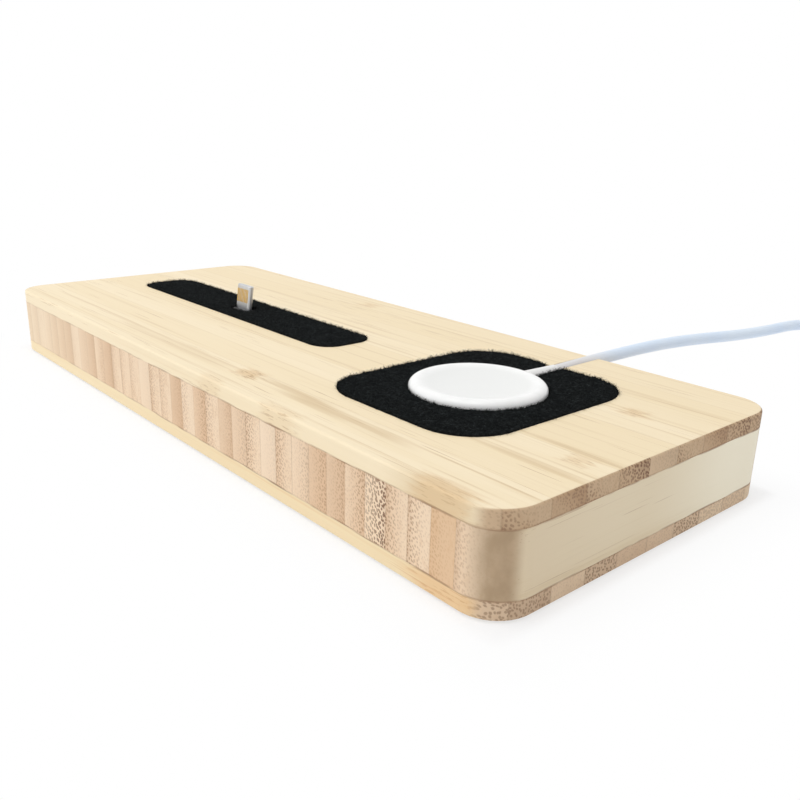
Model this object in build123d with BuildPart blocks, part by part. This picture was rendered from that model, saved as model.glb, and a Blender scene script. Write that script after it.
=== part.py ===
from build123d import *
import math
import os

# Charging dock: a three-ply bamboo block with felt inlays, a charging disc for a watch at one end
# and an upright phone connector at the other. X runs along the block, the phone dock towards -X,
# and the cords leave over the back, towards +Y. Sizes are in millimetres.

# Board
board_length = 196.0
board_width = 78.0
corner_radius = 7.5
outer_ply = 3.25
core_thickness = 11.5
edge_round = 0.5
cut_overrun = 2.0

# Rubber feet in round recesses
foot_diameter = 10.0
foot_thickness = 1.5
foot_proud = 0.3
foot_end_inset = 16.0
foot_side_inset = 12.0
foot_clearance = 0.1
foot_chamfer = 0.2

# Wood left round the felt inlays, which sets the places of the two docks
phone_felt_margin = 15.5
watch_felt_margin = 21.5
felt_spacing = 20.0
dock_line_y = 0.8

# Felt inlays
felt_thickness = 2.0
felt_proud = 0.2
felt_clearance = 0.1
watch_felt_length = 43.0
watch_felt_width = 49.4
watch_felt_radius = 11.0
phone_felt_width = 15.8
phone_felt_radius = 5.5
felt_slit_round = 2.0
felt_slot_side_room = 0.2
felt_slot_lean_room = 0.4

# Charging disc
disc_diameter = 28.0
disc_height = 7.2
disc_above_board = 1.5
disc_wall = 1.0
disc_rim_round = 1.0
disc_base_taper = 1.0
disc_base_height = 3.0
disc_base_round = 0.8
disc_fit = 0.25
dish_rim_width = 1.8
dish_depth = 1.0

# Inside the charging disc
inner_gap = 1.0
circuit_board_thickness = 0.8
ferrite_thickness = 0.6
winding_margin = 0.5
winding_bore = 9.0
winding_thickness = 1.2
magnet_gap = 1.0
magnet_thickness = 2.4

# Charging cord and the collar that it leaves the disc through
cord_diameter = 2.8
cord_sides = 8
cord_below_top = 0.9
cord_fit = 0.2
collar_spigot_diameter = 2.6
collar_root_diameter = 3.6
collar_tip_diameter = 3.0
collar_length = 10.0
collar_fit = 0.05
collar_slot_fit = 0.25

# Coil of the lead's put-away length, wound clockwise in two layers
coil_x = 103.0
coil_y = 123.3
coil_middle_radius = 16.8
coil_turn_gap = 0.6
coil_quarters = 29
coil_inmost_quarter = 14
coil_rise_quarters = 2
lead_in = 3.0
lead_out_rise = 18.0
least_gap_allowed = 0.4
arc_share = 0.45
parallel_tolerance = 1e-9

# Plug on the lead's far end
plug_width = 15.6
plug_height = 7.6
plug_length = 20.0
plug_round = 2.2
plug_edge_round = 0.5
boot_length = 8.0
boot_root_diameter = 5.6
boot_tip_diameter = 3.4
shell_width = 12.0
shell_height = 4.5
shell_length = 12.0
shell_wall = 0.35
shell_round = 0.6
shell_window = 2.2
shell_window_setback = 4.4
shell_window_spacing = 5.2
tongue_height = 1.9
tongue_length = 11.4
contact_count = 4
contact_width = 1.1
contact_length = 7.6
contact_thickness = 0.15
contact_setback = 0.8
contact_spacing = 2.2

# Phone connector, leaning back from upright
connector_lean = 8.0
tip_width = 6.7
tip_thickness = 1.5
tip_length = 6.7
tip_root = 2.0
tip_edge_round = 0.3
tip_fit = 0.05
pad_count = 8
pad_width = 0.38
pad_length = 3.6
pad_thickness = 0.05
pad_spacing = 0.7
pad_setback = 1.1
connector_width = 7.7
connector_depth = 4.5
connector_length = 10.0
connector_below_top = 0.2
connector_edge_round = 0.4
connector_fit = 0.05
inlet_diameter = 3.0
inlet_depth = 4.0
slot_side_room = 0.5
slot_lean_room = 0.8

# Holder of the phone connector, let in from below, and its channel to the back
flange_length = 32.0
flange_width = 13.0
flange_thickness = 2.4
flange_round = 3.0
riser_length = 16.0
riser_width = 11.0
riser_round = 2.0
holder_fit = 0.15
channel_width = 6.0
channel_depth = 5.0
screw_spacing = 24.0
screw_diameter = 3.0
screw_head_diameter = 5.6
screw_head_height = 1.3
screw_length = 9.0
screw_fit = 0.05
screw_slot_width = 0.8
screw_slot_length = 3.2
screw_slot_depth = 0.7

# Places and heights that follow from those sizes
watch_dock_x = board_length / 2 - watch_felt_margin - watch_felt_length / 2
phone_felt_end = watch_dock_x - watch_felt_length / 2 - felt_spacing
phone_felt_length = phone_felt_end - phone_felt_margin + board_length / 2
phone_dock_x = phone_felt_end - phone_felt_length / 2
board_bottom = foot_proud
core_bottom = board_bottom + outer_ply
core_top = core_bottom + core_thickness
board_top = core_top + outer_ply
felt_top = board_top + felt_proud
felt_bottom = felt_top - felt_thickness
disc_top = board_top + disc_above_board
disc_bottom = disc_top - disc_height
disc_seam = disc_bottom + disc_base_height
disc_ceiling = disc_top - dish_depth - disc_wall
disc_floor = disc_bottom + disc_wall
disc_base_diameter = disc_diameter - 2 * disc_base_taper
dish_diameter = disc_diameter - 2 * dish_rim_width
circuit_board_diameter = disc_base_diameter - 2 * disc_wall - 2 * inner_gap
winding_diameter = circuit_board_diameter - 2 * winding_margin
magnet_diameter = winding_bore - 2 * magnet_gap
cord_height = board_top - cord_below_top
channel_top = board_bottom + channel_depth
board_back = board_width / 2
watch_felt_back = dock_line_y + watch_felt_width / 2
collar_start = dock_line_y + disc_diameter / 2
collar_end = collar_start + collar_length

# Coil sizes: each quarter turn shifts in or out by a quarter of the pitch
coil_pitch = cord_diameter + coil_turn_gap
quarter_shift = coil_pitch / 4
inmost_radius = coil_middle_radius - coil_inmost_quarter * quarter_shift / 2
low_layer = cord_diameter / 2
high_layer = low_layer + coil_pitch
first_radius = inmost_radius + coil_inmost_quarter * quarter_shift

# Route of the lead from its collar to the coil: along the groove, out over the back edge,
# held up by its own stiffness, and down to the table in one long bend
cord_route = [
    (watch_dock_x, collar_end, cord_height),
    (55.0, 42.0, 17.4),
    (58.3, 66.0, 18.3),
    (64.3, 95.0, 17.9),
    (67.0, 120.0, 16.8),
    (70.5, 136.0, 11.8),
    (81.0, 145.2, 7.0),
    (92.5, coil_y + first_radius, high_layer),
    (coil_x - lead_in, coil_y + first_radius, high_layer),
]

os.makedirs("parts", exist_ok=True)


def arc_radii(points):
    """Largest arcs that a route's runs allow, each over a set share of its shorter run."""
    radii = []
    for before, corner, after in zip(points, points[1:], points[2:]):
        run_in = Vector(corner) - Vector(before)
        run_out = Vector(after) - Vector(corner)
        half_turn = math.radians(run_in.get_angle(run_out) / 2)
        radii.append(arc_share * min(run_in.length, run_out.length) / math.tan(half_turn))
    return radii


def add_biarc(start, heading, end, end_heading):
    """Two arcs that join two points smoothly, leaving and arriving along the given directions."""
    span = end - start
    headings = heading + end_heading
    spread = 2 * (1 - heading.dot(end_heading))
    along = span.dot(headings)
    if spread < parallel_tolerance:
        reach = span.dot(span) / (2 * along)
    else:
        reach = (math.sqrt(along**2 + spread * span.dot(span)) - along) / spread
    start_handle = start + heading * reach
    end_handle = end - end_heading * reach
    middle = (start_handle + end_handle) / 2
    TangentArc(start, middle, tangent=heading)
    TangentArc(middle, end, tangent=(end_handle - start_handle).normalized())


def coil_point(quarter):
    """Place and heading of the coil's centreline after a number of quarter turns."""
    angle = math.radians(90 - 90 * quarter)
    radius = inmost_radius + abs(quarter - coil_inmost_quarter) * quarter_shift
    rise_share = (quarter - coil_inmost_quarter) / coil_rise_quarters + 1 / 2
    height = high_layer - coil_pitch * min(1.0, max(0.0, rise_share))
    place = Vector(coil_x + radius * math.cos(angle), coil_y + radius * math.sin(angle), height)
    drop = coil_pitch / (coil_rise_quarters * math.pi * radius / 2) if 0 < rise_share < 1 else 0.0
    heading = Vector(math.sin(angle), -math.cos(angle), -drop).normalized()
    return place, heading


def least_gap(wire, step, skip):
    """Smallest clear distance between stretches of a tube that are further apart along it than skip."""
    count = int(wire.length / step)
    points = [wire.position_at(index / count) for index in range(count + 1)]
    skipped = int(skip / step)
    gaps = [
        (points[low] - points[high]).length
        for low in range(len(points))
        for high in range(low + skipped, len(points))
    ]
    return min(gaps) - cord_diameter


# Top ply: pockets for both felts, a hole for the disc, a groove for the lead and a connector slot
with BuildPart() as top_ply:
    with BuildSketch(Plane.XY.offset(core_top)):
        RectangleRounded(board_length, board_width, corner_radius)
    extrude(amount=outer_ply)
    fillet(top_ply.faces().sort_by(Axis.Z)[-1].edges(), edge_round)
    with BuildSketch(Plane.XY.offset(felt_bottom)):
        with Locations((watch_dock_x, dock_line_y)):
            RectangleRounded(watch_felt_length, watch_felt_width, watch_felt_radius)
        with Locations((phone_dock_x, dock_line_y)):
            RectangleRounded(phone_felt_length, phone_felt_width, phone_felt_radius)
    extrude(amount=felt_thickness, mode=Mode.SUBTRACT)
    with BuildSketch(Plane.XY.offset(core_top)):
        with Locations((watch_dock_x, dock_line_y)):
            Circle(disc_diameter / 2 + disc_fit)
        with Locations((phone_dock_x, dock_line_y)):
            Rectangle(connector_width + 2 * slot_side_room, connector_depth + 2 * slot_lean_room)
    extrude(amount=outer_ply, mode=Mode.SUBTRACT)
    with BuildSketch(Plane.XZ.offset(-dock_line_y)):
        with Locations((watch_dock_x, cord_height)):
            Circle(collar_root_diameter / 2 + collar_slot_fit)
        with Locations((watch_dock_x, (cord_height + felt_top) / 2)):
            Rectangle(collar_root_diameter + 2 * collar_slot_fit, felt_top - cord_height)
    extrude(amount=dock_line_y - watch_felt_back, mode=Mode.SUBTRACT)
    with BuildSketch(Plane.XZ.offset(-watch_felt_back)):
        with Locations((watch_dock_x, cord_height)):
            Circle(cord_diameter / 2 + cord_fit)
        with Locations((watch_dock_x, (cord_height + felt_top) / 2)):
            Rectangle(cord_diameter + 2 * cord_fit, felt_top - cord_height)
    extrude(amount=watch_felt_back - board_back - cut_overrun, mode=Mode.SUBTRACT)
top_ply.part.label = "top_ply"
export_step(top_ply.part, "parts/top_ply.step")

# Core: the rest of the disc's pocket, the holder's shaft, screw holes and the channel's upper part
with BuildPart() as core_ply:
    with BuildSketch(Plane.XY.offset(core_bottom)):
        RectangleRounded(board_length, board_width, corner_radius)
    extrude(amount=core_thickness)
    with BuildSketch(Plane.XY.offset(disc_bottom)):
        with Locations((watch_dock_x, dock_line_y)):
            Circle(disc_diameter / 2 + disc_fit)
    extrude(amount=core_top - disc_bottom, mode=Mode.SUBTRACT)
    with BuildSketch(Plane.XY.offset(core_bottom)):
        with Locations((phone_dock_x, dock_line_y)):
            RectangleRounded(riser_length + 2 * holder_fit, riser_width + 2 * holder_fit, riser_round)
    extrude(amount=core_thickness, mode=Mode.SUBTRACT)
    with BuildSketch(Plane.XY.offset(core_bottom)):
        with Locations((phone_dock_x, (dock_line_y + board_back + cut_overrun) / 2)):
            Rectangle(channel_width, board_back + cut_overrun - dock_line_y)
    extrude(amount=channel_top - core_bottom, mode=Mode.SUBTRACT)
    with BuildSketch(Plane.XY.offset(core_bottom)):
        with Locations((phone_dock_x, dock_line_y)):
            with GridLocations(screw_spacing, 0, 2, 1):
                Circle(screw_diameter / 2 + screw_fit)
    extrude(amount=screw_length, mode=Mode.SUBTRACT)
core_ply.part.label = "core_ply"
export_step(core_ply.part, "parts/core_ply.step")

# Bottom ply: pocket for the holder's flange, the channel to the back and the foot recesses
with BuildPart() as bottom_ply:
    with BuildSketch(Plane.XY.offset(board_bottom)):
        RectangleRounded(board_length, board_width, corner_radius)
    extrude(amount=outer_ply)
    fillet(bottom_ply.faces().sort_by(Axis.Z)[0].edges(), edge_round)
    with BuildSketch(Plane.XY.offset(board_bottom)):
        with Locations((phone_dock_x, dock_line_y)):
            RectangleRounded(flange_length + 2 * holder_fit, flange_width + 2 * holder_fit, flange_round)
        with Locations((phone_dock_x, (dock_line_y + board_back + cut_overrun) / 2)):
            Rectangle(channel_width, board_back + cut_overrun - dock_line_y)
    extrude(amount=outer_ply, mode=Mode.SUBTRACT)
    with BuildSketch(Plane.XY.offset(board_bottom)):
        with GridLocations(board_length - 2 * foot_end_inset, board_width - 2 * foot_side_inset, 2, 2):
            Circle(foot_diameter / 2 + foot_clearance)
    extrude(amount=foot_thickness - foot_proud, mode=Mode.SUBTRACT)
bottom_ply.part.label = "bottom_ply"
export_step(bottom_ply.part, "parts/bottom_ply.step")

# Four rubber feet
with BuildPart() as rubber_feet:
    with BuildSketch():
        with GridLocations(board_length - 2 * foot_end_inset, board_width - 2 * foot_side_inset, 2, 2):
            Circle(foot_diameter / 2)
    extrude(amount=foot_thickness)
    chamfer(rubber_feet.edges().group_by(Axis.Z)[0], foot_chamfer)
rubber_feet.part.label = "rubber_feet"
export_step(rubber_feet.part, "parts/rubber_feet.step")

# Felt round the watch disc, with a slit for the collar that runs to its back edge
with BuildPart() as watch_felt:
    with BuildSketch(Plane.XY.offset(felt_bottom)):
        with Locations((watch_dock_x, dock_line_y)):
            RectangleRounded(
                watch_felt_length - 2 * felt_clearance,
                watch_felt_width - 2 * felt_clearance,
                watch_felt_radius - felt_clearance,
            )
            Circle(disc_diameter / 2 + disc_fit, mode=Mode.SUBTRACT)
        with Locations((watch_dock_x, (dock_line_y + watch_felt_back) / 2)):
            Rectangle(
                collar_root_diameter + 2 * collar_slot_fit,
                watch_felt_back - dock_line_y,
                mode=Mode.SUBTRACT,
            )
    extrude(amount=felt_thickness)
    slit_mouth = watch_felt.edges().filter_by(Axis.Z).group_by(Axis.Y)[-1]
    fillet(slit_mouth.sort_by(Axis.X)[1], felt_slit_round)
watch_felt.part.label = "watch_felt"
export_step(watch_felt.part, "parts/watch_felt.step")

# Felt strip under the phone, with a close slot for the connector's body
with BuildPart() as phone_felt:
    with BuildSketch(Plane.XY.offset(felt_bottom)):
        with Locations((phone_dock_x, dock_line_y)):
            RectangleRounded(
                phone_felt_length - 2 * felt_clearance,
                phone_felt_width - 2 * felt_clearance,
                phone_felt_radius - felt_clearance,
            )
            SlotOverall(
                connector_width + 2 * felt_slot_side_room,
                connector_depth + 2 * felt_slot_lean_room,
                mode=Mode.SUBTRACT,
            )
    extrude(amount=felt_thickness)
phone_felt.part.label = "phone_felt"
export_step(phone_felt.part, "parts/phone_felt.step")

# Disc cover: rounded rim round a shallow dish, open below, with a hole for the collar
disc_section = Plane(origin=(watch_dock_x, dock_line_y, 0), x_dir=(1, 0, 0), z_dir=(0, -1, 0))
disc_axis = Axis((watch_dock_x, dock_line_y, 0), (0, 0, 1))
dish_sphere_radius = ((dish_diameter / 2) ** 2 + dish_depth**2) / (2 * dish_depth)
dish_half_angle = math.degrees(math.asin(dish_diameter / 2 / dish_sphere_radius))
rim_foot = disc_top - disc_rim_round
with BuildPart() as disc_cover:
    with BuildSketch(disc_section):
        with BuildLine():
            CenterArc(
                (0, disc_top - dish_depth + dish_sphere_radius), dish_sphere_radius, 270, dish_half_angle
            )
            Line((dish_diameter / 2, disc_top), (disc_diameter / 2 - disc_rim_round, disc_top))
            CenterArc((disc_diameter / 2 - disc_rim_round, rim_foot), disc_rim_round, 90, -90)
            Polyline(
                (disc_diameter / 2, rim_foot),
                (disc_diameter / 2, disc_seam),
                (disc_diameter / 2 - disc_wall, disc_seam),
                (disc_diameter / 2 - disc_wall, disc_ceiling),
                (0, disc_ceiling),
                (0, disc_top - dish_depth),
            )
        make_face()
    revolve(axis=disc_axis)
    with BuildSketch(Plane.XZ.offset(disc_wall - collar_start)):
        with Locations((watch_dock_x, cord_height)):
            Circle(collar_spigot_diameter / 2 + collar_fit)
    extrude(amount=-disc_wall - cut_overrun, mode=Mode.SUBTRACT)
disc_cover.part.label = "disc_cover"
export_step(disc_cover.part, "parts/disc_cover.step")

# Disc base: a tapered cup that stands on the floor of the board's pocket
with BuildPart() as disc_base:
    with BuildSketch(disc_section):
        Polygon(
            (0, disc_bottom),
            (disc_base_diameter / 2, disc_bottom),
            (disc_diameter / 2, disc_seam),
            (disc_diameter / 2 - disc_wall, disc_seam),
            (disc_base_diameter / 2 - disc_wall, disc_floor),
            (0, disc_floor),
            align=None,
        )
    revolve(axis=disc_axis)
    fillet(disc_base.edges().group_by(Axis.Z)[0], disc_base_round)
disc_base.part.label = "disc_base"
export_step(disc_base.part, "parts/disc_base.step")

# Circuit board on the base's floor
with BuildPart() as circuit_board:
    with BuildSketch(Plane.XY.offset(disc_floor)):
        with Locations((watch_dock_x, dock_line_y)):
            Circle(circuit_board_diameter / 2)
    extrude(amount=circuit_board_thickness)
circuit_board.part.label = "circuit_board"
export_step(circuit_board.part, "parts/circuit_board.step")

# Ferrite disc that shields the circuit board
ferrite_bottom = disc_floor + circuit_board_thickness
ferrite_top = ferrite_bottom + ferrite_thickness
with BuildPart() as ferrite_disc:
    with BuildSketch(Plane.XY.offset(ferrite_bottom)):
        with Locations((watch_dock_x, dock_line_y)):
            Circle(circuit_board_diameter / 2)
    extrude(amount=ferrite_thickness)
ferrite_disc.part.label = "ferrite_disc"
export_step(ferrite_disc.part, "parts/ferrite_disc.step")

# Flat winding on the ferrite
with BuildPart() as charging_winding:
    with BuildSketch(Plane.XY.offset(ferrite_top)):
        with Locations((watch_dock_x, dock_line_y)):
            Circle(winding_diameter / 2)
            Circle(winding_bore / 2, mode=Mode.SUBTRACT)
    extrude(amount=winding_thickness)
charging_winding.part.label = "charging_winding"
export_step(charging_winding.part, "parts/charging_winding.step")

# Magnet in the winding's middle
with BuildPart() as disc_magnet:
    with BuildSketch(Plane.XY.offset(ferrite_top)):
        with Locations((watch_dock_x, dock_line_y)):
            Circle(magnet_diameter / 2)
    extrude(amount=magnet_thickness)
disc_magnet.part.label = "disc_magnet"
export_step(disc_magnet.part, "parts/disc_magnet.step")

# Collar: a spigot through the disc's wall, then a taper round the lead
with BuildPart() as cord_collar:
    with BuildSketch(Plane.XZ.offset(disc_wall - collar_start)):
        with Locations((watch_dock_x, cord_height)):
            Circle(collar_spigot_diameter / 2)
    extrude(amount=-disc_wall)
    with BuildSketch(Plane.XZ.offset(-collar_start)):
        with Locations((watch_dock_x, cord_height)):
            Circle(collar_root_diameter / 2)
    with BuildSketch(Plane.XZ.offset(-collar_end)):
        with Locations((watch_dock_x, cord_height)):
            Circle(collar_tip_diameter / 2)
    loft()
cord_collar.part.label = "cord_collar"
export_step(cord_collar.part, "parts/cord_collar.step")

# Free stretch of the lead
cord_radii = arc_radii(cord_route)
with BuildPart() as charging_cord:
    with BuildLine() as cord_path:
        FilletPolyline(*cord_route, radius=cord_radii)
    with BuildSketch(Plane(origin=cord_path.line @ 0, z_dir=cord_path.line % 0)) as cord_profile:
        RegularPolygon(cord_diameter / 2, cord_sides)
    sweep()
charging_cord.part.label = "charging_cord"
export_step(charging_cord.part, "parts/charging_cord.step")

# Coil: in along the upper layer, down where it turns back, out along the table and up to the plug
coil_start, coil_heading = coil_point(0)
coil_end, coil_end_heading = coil_point(coil_quarters)
plug_axis_height = plug_height / 2
rise_end = coil_end + coil_end_heading * lead_out_rise + Vector(0, 0, plug_axis_height - low_layer)
plug_entry = rise_end + coil_end_heading * cord_diameter
with BuildPart() as cord_coil:
    with BuildLine() as coil_path:
        Line(coil_start - coil_heading * lead_in, coil_start)
        for quarter in range(coil_quarters):
            add_biarc(*coil_point(quarter), *coil_point(quarter + 1))
        add_biarc(coil_end, coil_end_heading, rise_end, coil_end_heading)
        Line(rise_end, plug_entry)
    with BuildSketch(Plane(origin=coil_start - coil_heading * lead_in, z_dir=coil_heading)):
        RegularPolygon(cord_diameter / 2, cord_sides)
    sweep()
cord_coil.part.label = "cord_coil"
export_step(cord_coil.part, "parts/cord_coil.step")

# Plug body with its tapered boot, lying on the table beside the coil
plug_plane = Plane(origin=plug_entry, x_dir=(1, 0, 0), z_dir=coil_end_heading)
body_start = boot_length
body_end = boot_length + plug_length
with BuildPart() as plug_body:
    with BuildSketch(plug_plane):
        Circle(boot_tip_diameter / 2)
    with BuildSketch(plug_plane.offset(body_start)):
        Circle(boot_root_diameter / 2)
    loft()
    with BuildSketch(plug_plane.offset(body_start)):
        RectangleRounded(plug_width, plug_height, plug_round)
    extrude(amount=plug_length)
    fillet(plug_body.faces().sort_by(Axis.Y)[0].edges(), plug_edge_round)
plug_body.part.label = "plug_body"
export_step(plug_body.part, "parts/plug_body.step")

# Plug shell: a folded metal sleeve with latch windows in both wide faces
with BuildPart() as plug_shell:
    with BuildSketch(plug_plane.offset(body_end)):
        RectangleRounded(shell_width, shell_height, shell_round)
        RectangleRounded(
            shell_width - 2 * shell_wall,
            shell_height - 2 * shell_wall,
            shell_round - shell_wall,
            mode=Mode.SUBTRACT,
        )
    extrude(amount=shell_length)
    shell_window_y = plug_entry.Y - body_end - shell_window_setback
    with BuildSketch(Plane.XY.offset(plug_axis_height)):
        with Locations((plug_entry.X, shell_window_y)):
            with GridLocations(shell_window_spacing, 0, 2, 1):
                Rectangle(shell_window, shell_window)
    extrude(amount=shell_height, both=True, mode=Mode.SUBTRACT)
plug_shell.part.label = "plug_shell"
export_step(plug_shell.part, "parts/plug_shell.step")

# Plastic tongue on the shell's lower wall
tongue_bottom = plug_axis_height - shell_height / 2 + shell_wall
tongue_top = tongue_bottom + tongue_height
tongue_start_y = plug_entry.Y - body_end
with BuildPart() as plug_tongue:
    with BuildSketch(Plane.XY.offset(tongue_bottom)):
        with Locations((plug_entry.X, tongue_start_y - tongue_length / 2)):
            Rectangle(shell_width - 2 * shell_round, tongue_length)
    extrude(amount=tongue_height)
plug_tongue.part.label = "plug_tongue"
export_step(plug_tongue.part, "parts/plug_tongue.step")

# Contact strips on the tongue
contact_y = tongue_start_y - tongue_length + contact_setback + contact_length / 2
with BuildPart() as plug_contacts:
    with BuildSketch(Plane.XY.offset(tongue_top)):
        with Locations((plug_entry.X, contact_y)):
            with GridLocations(contact_spacing, 0, contact_count, 1):
                Rectangle(contact_width, contact_length)
    extrude(amount=contact_thickness)
plug_contacts.part.label = "plug_contacts"
export_step(plug_contacts.part, "parts/plug_contacts.step")

# Phone connector on its leaning axis, measured up from the board's top
lean = math.radians(connector_lean)
connector_plane = Plane(
    origin=(phone_dock_x, dock_line_y, board_top),
    x_dir=(1, 0, 0),
    z_dir=(0, math.sin(lean), math.cos(lean)),
)
connector_face = -connector_below_top
with BuildPart() as connector_body:
    with BuildSketch(connector_plane.offset(connector_face - connector_length)):
        SlotOverall(connector_width, connector_depth)
    extrude(amount=connector_length)
    fillet(connector_body.faces().sort_by(Axis.Z)[-1].edges(), connector_edge_round)
    with BuildSketch(connector_plane.offset(connector_face - tip_root)):
        SlotOverall(tip_width + 2 * tip_fit, tip_thickness + 2 * tip_fit)
    extrude(amount=tip_root + cut_overrun, mode=Mode.SUBTRACT)
    with BuildSketch(connector_plane.offset(connector_face - connector_length - cut_overrun)):
        Circle(inlet_diameter / 2)
    extrude(amount=inlet_depth + cut_overrun, mode=Mode.SUBTRACT)
connector_body.part.label = "connector_body"
export_step(connector_body.part, "parts/connector_body.step")

# Metal tip with rounded ends, rooted in the body
with BuildPart() as connector_tip:
    with BuildSketch(connector_plane.offset(connector_face - tip_root)):
        SlotOverall(tip_width, tip_thickness)
    extrude(amount=tip_root + tip_length)
    fillet(connector_tip.faces().sort_by(Axis.Z)[-1].edges(), tip_edge_round)
connector_tip.part.label = "connector_tip"
export_step(connector_tip.part, "parts/connector_tip.step")

# Contact pads on both faces of the tip
pad_height = connector_face + tip_length - pad_setback - pad_length / 2
pad_plane = Plane(
    origin=connector_plane.from_local_coords((0, 0, pad_height)),
    x_dir=(1, 0, 0),
    z_dir=(0, math.cos(lean), -math.sin(lean)),
)
with BuildPart() as connector_pads:
    with BuildSketch(pad_plane.offset(tip_thickness / 2)):
        with GridLocations(pad_spacing, 0, pad_count, 1):
            Rectangle(pad_width, pad_length)
    extrude(amount=pad_thickness)
    with BuildSketch(pad_plane.offset(-tip_thickness / 2)):
        with GridLocations(pad_spacing, 0, pad_count, 1):
            Rectangle(pad_width, pad_length)
    extrude(amount=-pad_thickness)
connector_pads.part.label = "connector_pads"
export_step(connector_pads.part, "parts/connector_pads.step")

# Holder: a flange under the core with a riser that grips the connector on its leaning axis
flange_bottom = core_bottom - flange_thickness
with BuildPart() as connector_holder:
    with BuildSketch(Plane.XY.offset(flange_bottom)):
        with Locations((phone_dock_x, dock_line_y)):
            RectangleRounded(flange_length, flange_width, flange_round)
    extrude(amount=flange_thickness)
    with BuildSketch(Plane.XY.offset(core_bottom)):
        with Locations((phone_dock_x, dock_line_y)):
            RectangleRounded(riser_length, riser_width, riser_round)
    extrude(amount=core_thickness)
    with BuildSketch(connector_plane.offset(cut_overrun)):
        SlotOverall(connector_width + 2 * connector_fit, connector_depth + 2 * connector_fit)
    extrude(amount=board_bottom - board_top - 2 * cut_overrun, mode=Mode.SUBTRACT)
    with BuildSketch(Plane.XY.offset(flange_bottom)):
        with Locations((phone_dock_x, dock_line_y + flange_width / 2)):
            Rectangle(channel_width, flange_width)
    extrude(amount=channel_top - flange_bottom, mode=Mode.SUBTRACT)
    with BuildSketch(Plane.XY.offset(flange_bottom)):
        with Locations((phone_dock_x, dock_line_y)):
            with GridLocations(screw_spacing, 0, 2, 1):
                Circle(screw_diameter / 2 + screw_fit)
    extrude(amount=flange_thickness, mode=Mode.SUBTRACT)
    with Locations((phone_dock_x, dock_line_y, flange_bottom + screw_head_height / 2)):
        with GridLocations(screw_spacing, 0, 2, 1):
            Cone(
                screw_head_diameter / 2 + screw_fit,
                screw_diameter / 2 + screw_fit,
                screw_head_height,
                mode=Mode.SUBTRACT,
            )
connector_holder.part.label = "connector_holder"
export_step(connector_holder.part, "parts/connector_holder.step")

# Two countersunk screws through the flange into the core
with BuildPart() as holder_screws:
    with Locations((phone_dock_x, dock_line_y, flange_bottom + screw_head_height / 2)):
        with GridLocations(screw_spacing, 0, 2, 1):
            Cone(screw_head_diameter / 2, screw_diameter / 2, screw_head_height)
    with BuildSketch(Plane.XY.offset(flange_bottom)):
        with Locations((phone_dock_x, dock_line_y)):
            with GridLocations(screw_spacing, 0, 2, 1):
                Circle(screw_diameter / 2)
    extrude(amount=screw_length)
    with BuildSketch(Plane.XY.offset(flange_bottom)):
        with Locations((phone_dock_x, dock_line_y)):
            with GridLocations(screw_spacing, 0, 2, 1):
                Rectangle(screw_slot_length, screw_slot_width)
                Rectangle(screw_slot_width, screw_slot_length)
    extrude(amount=screw_slot_depth, mode=Mode.SUBTRACT)
holder_screws.part.label = "holder_screws"
export_step(holder_screws.part, "parts/holder_screws.step")

# Facts about the lead that a reader can check
cord_section = cord_profile.sketch.area
free_length = cord_path.wire().length
coil_length = coil_path.wire().length
print("free stretch radii:", [round(radius, 1) for radius in cord_radii])
print("free stretch length:", round(free_length, 1), "volume ratio:",
      round(charging_cord.part.volume / (cord_section * free_length), 4))
print("coil length:", round(coil_length, 1), "volume ratio:",
      round(cord_coil.part.volume / (cord_section * coil_length), 4))
coil_gap = least_gap(coil_path.wire(), cord_diameter / 2, math.pi * inmost_radius)
print("coil's least gap to itself:", round(coil_gap, 3), "wanted over", least_gap_allowed)
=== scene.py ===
"""Looks of the bamboo charging dock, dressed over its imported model. Sizes are in metres."""
import math
import random

import bmesh
import bpy
from mathutils import Matrix, Vector, noise


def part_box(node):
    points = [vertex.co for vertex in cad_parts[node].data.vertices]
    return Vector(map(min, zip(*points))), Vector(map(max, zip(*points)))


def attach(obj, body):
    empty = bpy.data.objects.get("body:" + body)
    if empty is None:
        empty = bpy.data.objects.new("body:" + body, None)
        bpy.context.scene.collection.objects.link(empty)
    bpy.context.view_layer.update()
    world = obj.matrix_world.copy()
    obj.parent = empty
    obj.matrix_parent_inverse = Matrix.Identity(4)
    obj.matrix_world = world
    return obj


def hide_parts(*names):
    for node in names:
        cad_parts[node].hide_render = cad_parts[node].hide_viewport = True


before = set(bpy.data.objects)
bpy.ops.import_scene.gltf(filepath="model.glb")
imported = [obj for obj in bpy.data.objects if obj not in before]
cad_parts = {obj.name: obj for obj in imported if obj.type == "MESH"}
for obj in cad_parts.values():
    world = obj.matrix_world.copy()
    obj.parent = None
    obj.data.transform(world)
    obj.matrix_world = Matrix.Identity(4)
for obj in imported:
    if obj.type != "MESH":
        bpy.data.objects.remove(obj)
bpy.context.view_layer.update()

MM = 0.001

# Camera at the photograph's place, solved from the board's straight edges
camera_place = Vector((164.91, -116.94, 68.84)) * MM
camera_yaw = math.radians(48.56)
camera_pitch = math.radians(18.49)
camera_roll = math.radians(1.46)
camera_focal_px = 839.0
photo_width_px = 800.0
sensor_width_mm = 36.0
nearest_in_view = 1.0 * MM

# The board, the core's lower and upper faces and the charging disc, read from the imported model
board_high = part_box("top_ply")[1]
core_low_mm, core_high_mm = (corner.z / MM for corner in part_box("core_ply"))
disc_low, disc_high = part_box("disc_cover")
disc_x = (disc_low.x + disc_high.x) / 2
disc_y = (disc_low.y + disc_high.y) / 2
disc_radius = (disc_high.x - disc_low.x) / 2

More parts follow.
